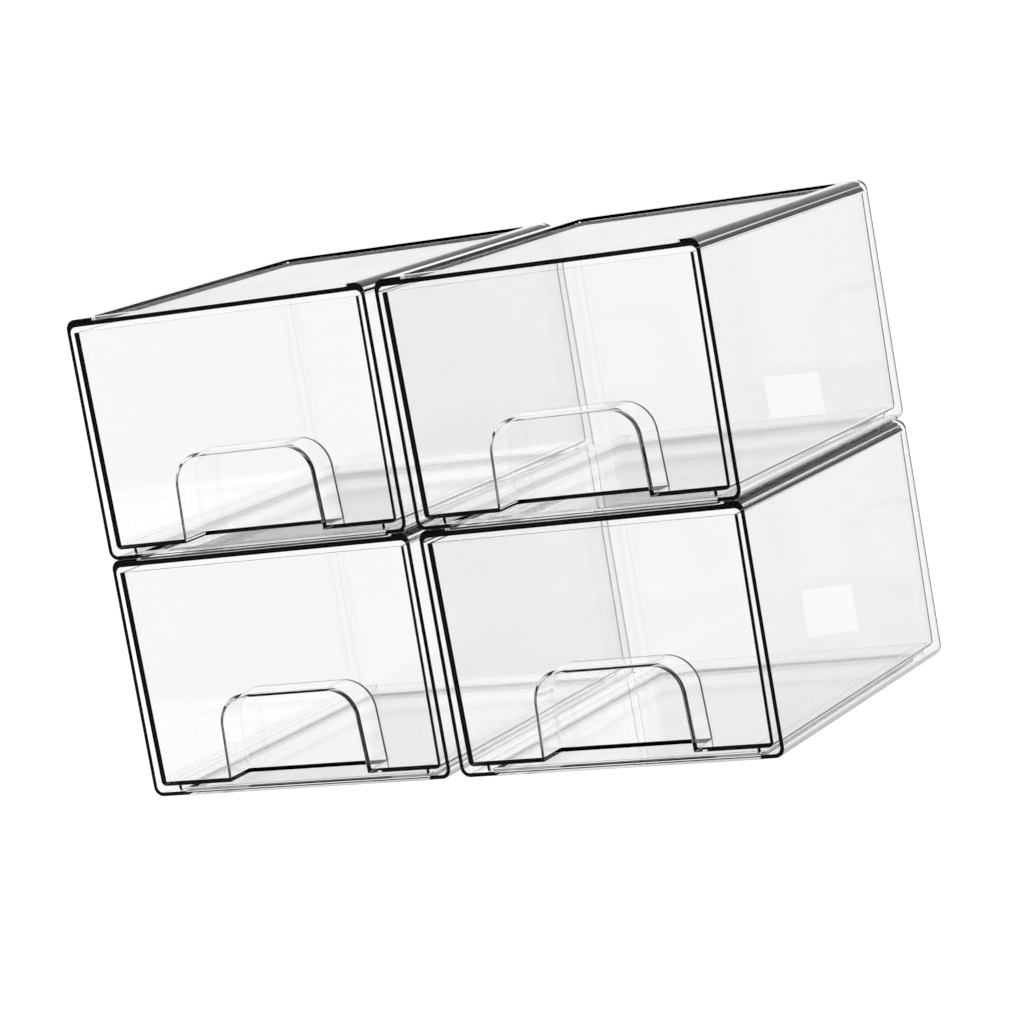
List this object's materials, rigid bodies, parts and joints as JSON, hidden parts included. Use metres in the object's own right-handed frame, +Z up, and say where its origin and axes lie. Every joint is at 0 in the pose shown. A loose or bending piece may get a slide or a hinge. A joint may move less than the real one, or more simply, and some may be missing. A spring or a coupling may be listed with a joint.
{
  "type": "clear stacking make-up drawer set",
  "caption": "Clear open-fronted cases stacked in columns, each holding a lidless drawer with an arched finger niche at its front.",
  "frame": {"origin": "centre of the set's bounding box on the surface that it stands on", "axes": "+X to the right seen from the front, drawer fronts face -Y, +Z up"},
  "size_m": [0.3252, 0.1934, 0.2284],
  "materials": {
    "clear_case": "clear, polished moulded sheet",
    "clear_drawer": "clear, polished moulded sheet"
  },
  "bodies": {
    "lower_left_case": {"lower_left_case": "clear_case"},
    "lower_left_drawer": {"lower_left_drawer": "clear_drawer"},
    "upper_left_case": {"upper_left_case": "clear_case"},
    "upper_left_drawer": {"upper_left_drawer": "clear_drawer"},
    "lower_right_case": {"lower_right_case": "clear_case"},
    "lower_right_drawer": {"lower_right_drawer": "clear_drawer"},
    "upper_right_case": {"upper_right_case": "clear_case"},
    "upper_right_drawer": {"upper_right_drawer": "clear_drawer"}
  },
  "joints": [
    {"name": "lower_left_drawer_slide", "type": "slide", "parent": "lower_left_case", "child": "lower_left_drawer", "axis": [0, -1, 0], "range_m": [0, 0.15]},
    {"name": "upper_left_drawer_slide", "type": "slide", "parent": "upper_left_case", "child": "upper_left_drawer", "axis": [0, -1, 0], "range_m": [0, 0.15]},
    {"name": "upper_left_lift", "type": "slide", "parent": "lower_left_case", "child": "upper_left_case", "axis": [0, 0, 1], "range_m": [0, 0.06]},
    {"name": "lower_right_drawer_slide", "type": "slide", "parent": "lower_right_case", "child": "lower_right_drawer", "axis": [0, -1, 0], "range_m": [0, 0.15]},
    {"name": "upper_right_drawer_slide", "type": "slide", "parent": "upper_right_case", "child": "upper_right_drawer", "axis": [0, -1, 0], "range_m": [0, 0.15]},
    {"name": "upper_right_lift", "type": "slide", "parent": "lower_right_case", "child": "upper_right_case", "axis": [0, 0, 1], "range_m": [0, 0.06]},
    {"name": "right_column_shift", "type": "slide", "parent": "lower_left_case", "child": "lower_right_case", "axis": [1, 0, 0], "range_m": [-0.005, 0.06]}
  ]
}
